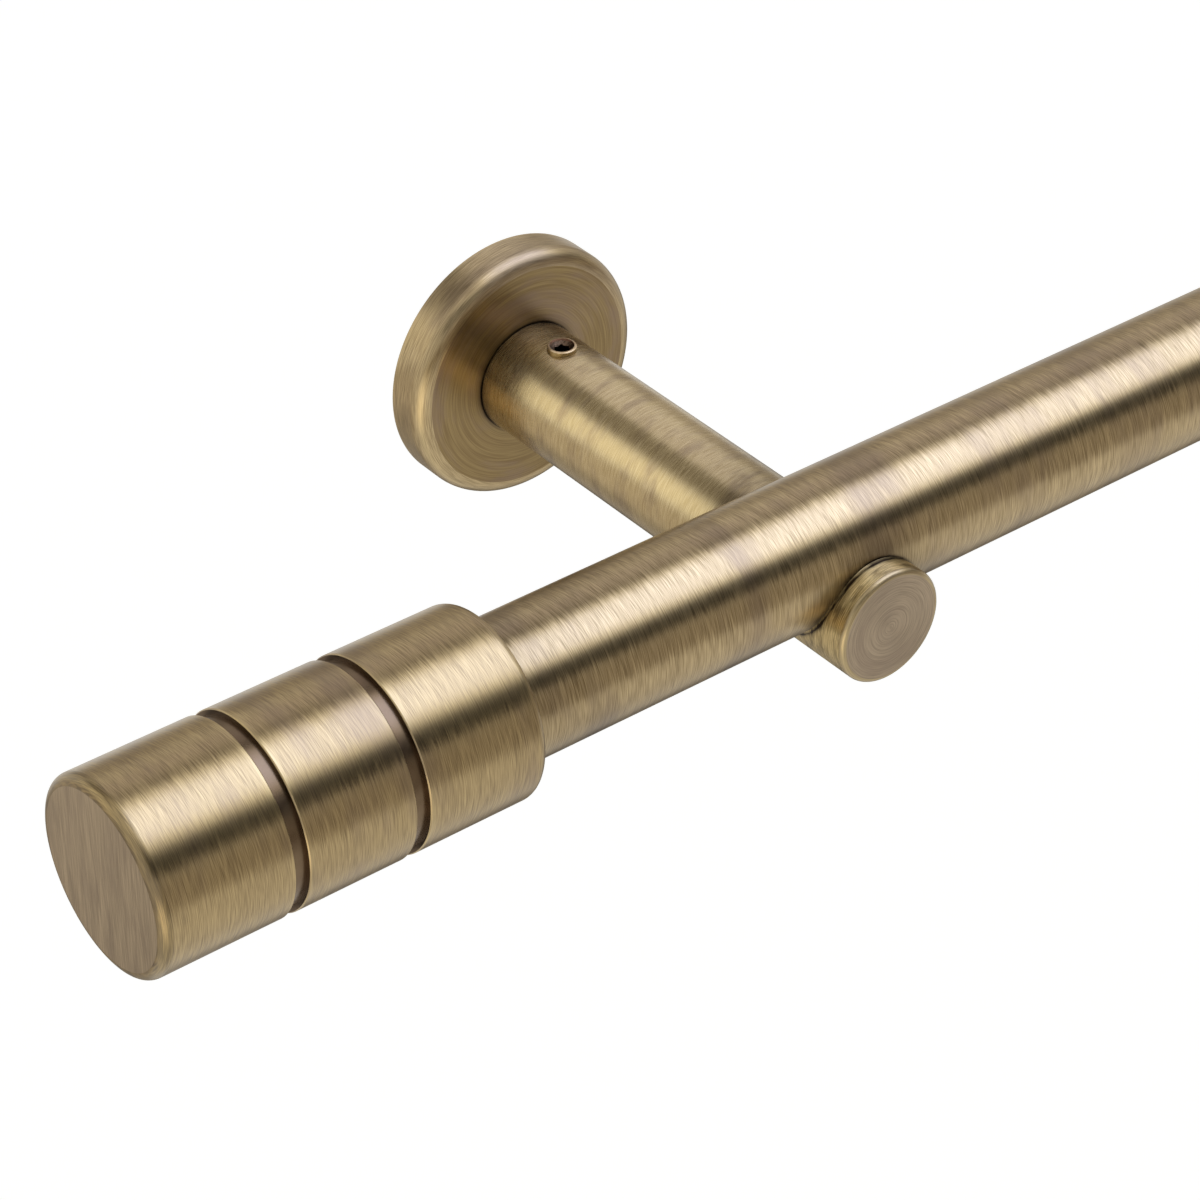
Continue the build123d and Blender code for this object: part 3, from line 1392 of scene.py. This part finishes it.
    def build_screw(self) -> None:
        """Turn the stem's set screw and cut its hexagon socket."""
        node = f"{self.side}_stem_set_screw"
        low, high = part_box(node)
        radius = (high[0] - low[0]) / 2 / MM
        length = (high[2] - low[2]) / MM
        chamfer = self.screw_chamfer
        rim = radius - chamfer
        lip = rim - self.screw_lip
        sunk = self.screw_lip
        cup = self.screw_cup
        solid = Turning(
            Vector(),
            Vector((0, 0, -1)),
            [
                *path((length, 0), (length, rim), (length - chamfer, radius), finish=1),
                *path((length - chamfer, radius), (chamfer, radius), finish=4),
                *path((chamfer, radius), (0, rim), (0, lip)),
                *path((0, lip), (sunk, lip - sunk), (sunk, cup), finish=1),
                *path((sunk, cup), (sunk + cup, 0), finish=2),
            ],
            segments=96,
        )
        corner = self.screw_key / 2 / math.cos(math.pi / HEXAGON) * MM
        corners = []
        for height in (-length / 2 * MM, MM):
            for number in range(HEXAGON):
                angle = math.tau * number / HEXAGON
                corners.append((corner * math.cos(angle), corner * math.sin(angle), height))
        sides = list(range(HEXAGON))
        faces = [sides[::-1], [number + HEXAGON for number in sides]]
        for number in sides:
            following = (number + 1) % HEXAGON
            faces.append([number, following, following + HEXAGON, number + HEXAGON])
        key = bpy.data.meshes.new("work")
        key.from_pydata(corners, [], faces)
        key.polygons.foreach_set("material_index", [3] * len(key.polygons))
        mesh = cut(f"{node}_turned", solid.mesh("work"), [key])
        smooth_true(mesh, solid, [])
        place = Vector(((low[0] + high[0]) / 2, (low[1] + high[1]) / 2, high[2]))
        sheen = self.finishes
        materials = [
            sheen.screw_rim,
            sheen.screw_end,
            sheen.screw_bevel,
            sheen.screw_socket,
            sheen.screw_side,
        ]
        put_in(node, f"{node}_turned", mesh, materials, place)

    def build_rose(self) -> None:
        """Turn and dress the rose."""
        node = f"{self.side}_rose"
        centre = self.centre()
        low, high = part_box(node)
        radius = (high[0] - low[0]) / 2 / MM
        depth = (high[1] - low[1]) / MM
        rim = self.rose_rounding
        inset = rim * ROUND_INSET
        inside = radius - self.rose_wall
        floor = depth - self.rose_wall
        bore = self.rose_bore
        solid = Turning(
            Vector(),
            Vector((0, -1, 0)),
            [
                *path((floor, bore), (floor, inside), (0, inside), (0, radius), finish=2),
                straight((0, radius), (depth - rim, radius), step=2, fine_start=True, fine_end=True),
                rounded((depth - rim, radius - rim), rim, 90, 0, steps=16),
                straight((depth, radius - rim), (depth, bore), finish=1, step=0.25, fine_start=True),
                *path((depth, bore), (floor, bore), finish=2),
            ],
            ((depth - inset, radius - inset, self.rose_wear), (0.0, radius, self.foot_wear)),
        )
        mesh = solid.mesh(f"{node}_cup")
        smooth_true(mesh, solid, [])
        wear_edges(mesh, solid, self.rose_wear_reach)
        stem_low, stem_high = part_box(f"{self.side}_stem")
        stem_radius = (stem_high[0] - stem_low[0]) / 2 / MM
        # Dark joint line and painted shade on the face, beside the stem
        darken_joints_and_paint_shade(
            mesh,
            lambda point: dark_joint_and_painted_shade(
                math.hypot(point.x, point.z) / MM - stem_radius, self.halo, self.halo_share
            ),
        )
        materials = [self.finishes.rose, self.finishes.rose_face, self.finishes.inside]
        put_in(node, f"{node}_cup", mesh, materials, centre)

    def build(self) -> None:
        """Make the stem and the rose, and dress the plate, the spigot and the screws."""
        self.build_stem()
        self.build_screw()
        self.build_rose()
        for part in ("wall_plate", "spigot"):
            dress_node(f"{self.side}_{part}", self.finishes.zinc)
        for part in ("spigot_screw", "pole_set_screw"):
            dress_node(f"{self.side}_{part}", self.finishes.screw)
        log.info("%s bracket done", self.side)


@dataclass(frozen=True)
class Panel:
    """A soft box or a flag of the studio, seen from the rod in one direction.

    The level is what it shows: 1 is the white of the background, more is a lamp, less is a flag.
    It fades over the softness of its half size, towards the tint of its edge if that is another.
    """

    name: str
    direction: tuple[float, float, float]
    wide: float
    high: float
    level: float
    tint: str = "#ffffff"
    softness: float = 0.5
    distance: float = 3.0
    edge_tint: str | None = None

    def build(self, middle: Vector) -> None:
        """Hang the panel so that it faces the rod.

        Args:
            middle: The place that it faces.
        """
        toward = Vector(self.direction).normalized()
        side = Vector((1, 0, 0)) - toward * toward.x
        side.normalize()
        rise = toward.cross(side)
        centre = middle + toward * self.distance
        half_wide = side * self.distance * math.tan(math.radians(self.wide))
        half_high = rise * self.distance * math.tan(math.radians(self.high))
        corners = [
            centre - half_wide - half_high,
            centre + half_wide - half_high,
            centre + half_wide + half_high,
            centre - half_wide + half_high,
        ]
        mesh = bpy.data.meshes.new(self.name)
        mesh.from_pydata(corners, [], [(0, 1, 2, 3)])
        layer = mesh.uv_layers.new(name="spread")
        for number, corner in enumerate(((-1, -1), (1, -1), (1, 1), (-1, 1))):
            layer.data[number].uv = corner
        panel = make_object(self.name, mesh)
        mesh.materials.append(self.material())
        panel.visible_camera = False
        panel.visible_shadow = False
        panel.visible_diffuse = False

    def material(self) -> Material:
        """Make the panel's glow, which fades at its edges.

        Returns:
            The material.
        """
        material, tree, output = new_material(self.name)
        spread = add_node(tree, "ShaderNodeUVMap", {"uv_map": "spread"})
        parts = add_node(tree, "ShaderNodeSeparateXYZ", inputs={0: spread.outputs[0]})
        fades = []
        for name in ("X", "Y"):
            size = add_node(tree, "ShaderNodeMath", {"operation": "ABSOLUTE"}, {0: parts.outputs[name]})
            fades.append(
                add_node(
                    tree,
                    "ShaderNodeMapRange",
                    {"interpolation_type": "SMOOTHSTEP"},
                    {
                        "Value": size.outputs[0],
                        "From Min": 1.0 - self.softness,
                        "From Max": 1.0,
                        "To Min": 1.0,
                        "To Max": 0.0,
                    },
                ).outputs[0]
            )
        share = add_node(tree, "ShaderNodeMath", {"operation": "MULTIPLY"}, {0: fades[0], 1: fades[1]})
        colour = linear(self.tint)
        if self.edge_tint:
            colour = add_node(
                tree,
                "ShaderNodeMix",
                {"data_type": "RGBA"},
                {"Factor": share.outputs[0], 6: linear(self.edge_tint), 7: colour},
            ).outputs[2]
        glow = add_node(tree, "ShaderNodeEmission", inputs={"Color": colour, "Strength": self.level})
        clear = add_node(tree, "ShaderNodeBsdfTransparent")
        mixed = add_node(
            tree,
            "ShaderNodeMixShader",
            inputs={0: share.outputs[0], 1: clear.outputs[0], 2: glow.outputs[0]},
        )
        tree.links.new(mixed.outputs[0], output.inputs["Surface"])
        return material


@dataclass
class Studio:
    """A white room with soft boxes and flags, a pale floor and the camera. Sizes are in metres."""

    floor_drop: float = 1.0
    floor_size: float = 40.0
    floor_shade: str = "#e6e6e4"
    floor_lift: float = 0.38
    room_level: float = 0.8
    camera_azimuth: float = -38.296
    camera_elevation: float = 35.849
    camera_distance: float = 0.681663
    target: tuple[float, float, float] = (-0.053887, -0.101, 0.01949)
    # In mm, as the camera takes them
    focal_length: float = 113.998
    sensor_width: float = 36.0

    def panels(self) -> list[Panel]:
        """Give the soft boxes and flags.

        Returns:
            The panels.
        """
        return [
            Panel("soft_box_above", (0.45, -0.18, 0.84), 40, 31, 5.1, "#ccd8ff", 0.65, 3.4, "#dfdcae"),
            Panel("soft_box_front_left", (-0.7, -0.54, -0.42), 20, 22, 2.6, "#fff8e8", 0.6, 1.2),
            Panel("soft_box_behind_left", (-0.73, 0.636, 0.28), 24, 20, 1.5, "#fffdf2", 0.7, 3.2),
            Panel("flag_camera", (-0.48, -0.66, 0.57), 20, 17, 0.02, "#fff0dc", 0.4, 1.6),
            Panel("flag_front", (0.5, -0.73, 0.47), 60, 15, 0.0, "#ffe8cc", 0.3, 2.6),
            Panel("flag_front_low", (0.5, -0.863, -0.03), 60, 21, 0.52, "#fff6ea", 0.35, 2.5),
            Panel("flag_above_back", (0.5, 0.34, 0.79), 40, 8, 0.25, "#fff8f4", 0.5, 2.8),
            Panel("flag_left", (-0.264, 0.636, 0.725), 20, 27, 0.3, "#fff6ea", 0.5, 2.7),
            Panel("flag_left_low", (-0.6, 0.636, -0.46), 26, 26, 0.72, "#fff6ea", 0.4, 0.9),
            Panel("flag_low", (-0.08, 0.64, -0.77), 22, 22, 0.42, "#fff6ea", 0.4, 0.85),
            Panel("soft_box_above_back", (0.45, 0.58, 0.68), 42, 10, 0.92, "#f4f0ff", 0.6, 3.3),
            Panel("flag_back", (0.56, 0.8, 0.13), 45, 19, 0.5, "#fff4e4", 0.5, 2.9),
            Panel("flag_below_back", (0.6, 0.45, -0.7), 34, 30, 0.1, "#fff0e4", 0.6, 0.8),
            Panel("flag_by_end", (-0.66, 0.47, -0.6), 9, 9, 0.3, "#fff0e4", 0.9, 0.33),
        ]

    def build_room(self) -> None:
        """Make the white room: white as the background and in reflections, soft as a light."""
        world = bpy.data.worlds.new("white_room")
        bpy.context.scene.world = world
        world.use_nodes = True
        tree = world.node_tree
        tree.nodes.clear()
        seen = seen_directly(tree)
        level = add_node(
            tree, "ShaderNodeMapRange", inputs={"Value": seen, "To Min": self.room_level, "To Max": 1.0}
        )
        white = add_node(
            tree, "ShaderNodeBackground", inputs={"Color": (1, 1, 1, 1), "Strength": level.outputs[0]}
        )
        output = add_node(tree, "ShaderNodeOutputWorld")
        tree.links.new(white.outputs[0], output.inputs["Surface"])

    def build_floor(self) -> None:
        """Lay the pale floor, which can't be seen from below."""
        half = self.floor_size / 2
        drop = -self.floor_drop
        mesh = bpy.data.meshes.new("floor")
        mesh.from_pydata(
            [(-half, -half, drop), (half, -half, drop), (half, half, drop), (-half, half, drop)],
            [],
            [(0, 1, 2, 3)],
        )
        material, tree, output = new_material("floor_matt_white")
        matt = add_node(tree, "ShaderNodeBsdfDiffuse", inputs={"Color": linear(self.floor_shade)})
        lift = add_node(
            tree,
            "ShaderNodeMath",
            {"operation": "MULTIPLY"},
            {0: seen_directly(tree), 1: self.floor_lift},
        )
        glow = add_node(tree, "ShaderNodeEmission", inputs={"Strength": lift.outputs[0]})
        both = add_node(tree, "ShaderNodeAddShader", inputs={0: matt.outputs[0], 1: glow.outputs[0]})
        clear = add_node(tree, "ShaderNodeBsdfTransparent")
        below = add_node(tree, "ShaderNodeNewGeometry")
        sided = add_node(
            tree,
            "ShaderNodeMixShader",
            inputs={0: below.outputs["Backfacing"], 1: both.outputs[0], 2: clear.outputs[0]},
        )
        tree.links.new(sided.outputs[0], output.inputs["Surface"])
        mesh.materials.append(material)
        floor = make_object("floor", mesh)

    def build_camera(self) -> None:
        """Place the camera at the photograph's angle."""
        turn = math.radians(self.camera_azimuth)
        rise = math.radians(self.camera_elevation)
        back = Vector(
            (math.sin(turn) * math.cos(rise), -math.cos(turn) * math.cos(rise), math.sin(rise))
        )
        data = bpy.data.cameras.new("camera")
        data.lens = self.focal_length
        data.sensor_width = self.sensor_width
        camera = bpy.data.objects.new("camera", data)
        camera.location = Vector(self.target) + back * self.camera_distance
        camera.rotation_euler = (-back).to_track_quat("-Z", "Y").to_euler()
        bpy.context.collection.objects.link(camera)
        bpy.context.scene.camera = camera

    def build(self) -> None:
        """Set up the room, the floor, the panels and the camera."""
        bpy.context.scene.view_settings.view_transform = "Standard"
        self.build_camera()
        self.build_room()
        self.build_floor()
        for panel in self.panels():
            panel.build(Vector(self.target))
        log.info("studio done")


def seen_directly(tree: NodeTree) -> NodeSocket:
    """Tell camera, glossy and transmission rays from the rest.

    Args:
        tree: The node tree that asks.

    Returns:
        A socket that is 1 for those rays and 0 for the rest.
    """
    rays = add_node(tree, "ShaderNodeLightPath")
    either = add_node(
        tree,
        "ShaderNodeMath",
        {"operation": "MAXIMUM"},
        {0: rays.outputs["Is Camera Ray"], 1: rays.outputs["Is Glossy Ray"]},
    )
    return add_node(
        tree,
        "ShaderNodeMath",
        {"operation": "MAXIMUM"},
        {0: either.outputs[0], 1: rays.outputs["Is Transmission Ray"]},
    ).outputs[0]


def main() -> None:
    """Build the studio, the pole, the finials and the brackets."""
    logging.basicConfig(level=logging.INFO, format="%(name)s: %(message)s")
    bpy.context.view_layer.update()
    Studio().build()
    finishes = Finishes()
    Pole(finishes).build()
    for side, outward in (("left", -1), ("right", 1)):
        Finial(side, outward, finishes).build()
        Bracket(side, finishes).build()


if __name__ == "__main__":
    main()
